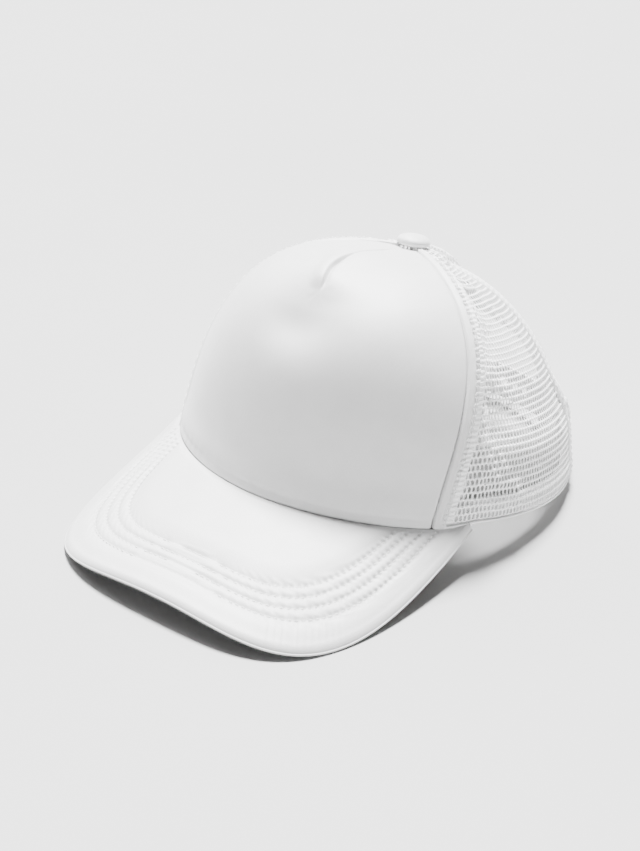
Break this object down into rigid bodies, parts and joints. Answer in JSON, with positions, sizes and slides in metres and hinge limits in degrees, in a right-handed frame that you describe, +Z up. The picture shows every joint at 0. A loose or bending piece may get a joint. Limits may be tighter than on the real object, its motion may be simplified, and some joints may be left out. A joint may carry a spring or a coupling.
{
  "type": "baseball cap",
  "caption": "Foam-front, mesh-back baseball cap with a curved stitched brim, covered top button, sweatband and a rear arch closed by hinged plastic snap straps.",
  "frame": {"origin": "on the table under the middle of the cap's bounding box, with the cap resting on the brim's side edges and its two rear feet", "axes": "+Z up, brim towards -Y, the wearer's left towards +X"},
  "size_m": [0.1982, 0.2598, 0.1168],
  "materials": {
    "front_cloth": "white knitted cloth, faint brushed sheen",
    "foam": "fine open-cell foam",
    "mesh": "open warp-knit nylon mesh, slight sheen",
    "trim_cloth": "smooth woven cloth",
    "tape": "twill tape",
    "sweatband_cloth": "terry-backed cotton",
    "brim_cloth": "fine plain weave stretched over the brim",
    "brim_board": "moulded polyethylene sheet",
    "thread": "polyester sewing thread",
    "button_shell": "moulded",
    "rivet": "plated steel",
    "strap_plastic": "flexible moulded plastic, satin"
  },
  "bodies": {
    "cap": {"front_fabric": "front_cloth", "front_foam": "foam", "seam_trim_left": "trim_cloth", "seam_trim_right": "trim_cloth", "side_mesh_left": "mesh", "side_mesh_right": "mesh", "back_mesh_left": "mesh", "back_mesh_right": "mesh", "front_seam_tape_left": "tape", "front_seam_tape_right": "tape", "side_seam_tape_left": "tape", "side_seam_tape_right": "tape", "centre_back_tape": "tape", "rim_hem_left": "trim_cloth", "rim_hem_right": "trim_cloth", "rear_arch_binding": "trim_cloth", "sweatband_foam": "foam", "sweatband_cloth": "sweatband_cloth", "brim_seam_binding": "trim_cloth", "brim_board": "brim_board", "brim_padding": "foam", "brim_top_cover": "brim_cloth", "brim_under_cover": "brim_cloth", "brim_stitching": "thread", "panel_stitching": "thread", "button_shell": "button_shell", "button_cover": "front_cloth", "button_rivet": "rivet", "hole_strap_tab": "strap_plastic", "peg_strap_tab": "strap_plastic"},
    "hole_strap": {"hole_strap": "strap_plastic"},
    "peg_strap": {"peg_strap": "strap_plastic"}
  },
  "joints": [
    {"name": "hole_strap_swing", "type": "hinge", "parent": "cap", "child": "hole_strap", "pos_m": [0.04359, 0.11869, 0.01482], "axis": [0.0738, -0.0533, -0.9958], "range_deg": [0, 70], "stiffness_Nm_per_rad": 0.02},
    {"name": "peg_strap_swing", "type": "hinge", "parent": "cap", "child": "peg_strap", "pos_m": [-0.04292, 0.11735, 0.01484], "axis": [-0.0738, -0.0533, -0.9958], "range_deg": [0, 25], "stiffness_Nm_per_rad": 0.02}
  ]
}
